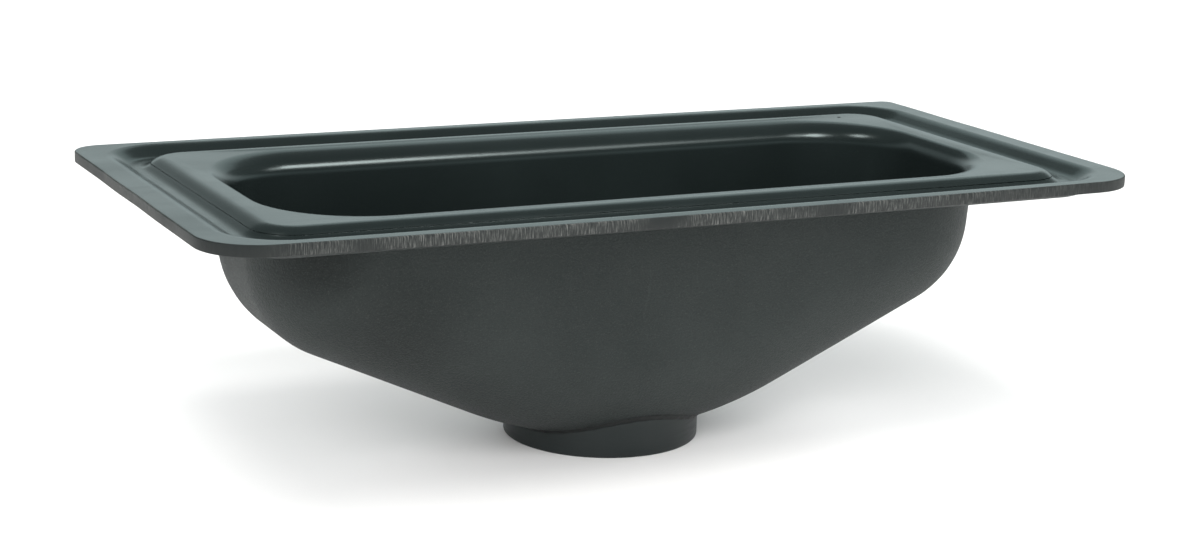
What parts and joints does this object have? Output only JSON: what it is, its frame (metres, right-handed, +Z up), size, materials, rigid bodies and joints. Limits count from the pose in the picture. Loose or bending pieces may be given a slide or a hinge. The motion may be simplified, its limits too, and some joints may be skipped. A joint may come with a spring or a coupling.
{
  "type": "hopper trough",
  "caption": "Deep moulded plastic trough with a wide grooved rim, a floor that falls to the middle, and a short round outlet collar underneath.",
  "frame": {"origin": "on the floor under the middle of the outlet collar, which the trough stands on", "axes": "+X along the long side of the rim, +Z up, out of the mouth"},
  "size_m": [0.44, 0.218, 0.1263],
  "materials": {
    "moulded_sheet": "black thermoformed sheet, semi-gloss above and finely grained below",
    "pipe_plastic": "black pipe, satin",
    "weld_plastic": "black weld, satin"
  },
  "bodies": {
    "root": {"hopper_shell": "moulded_sheet", "outlet_collar": "pipe_plastic", "collar_weld": "weld_plastic"}
  },
  "joints": []
}
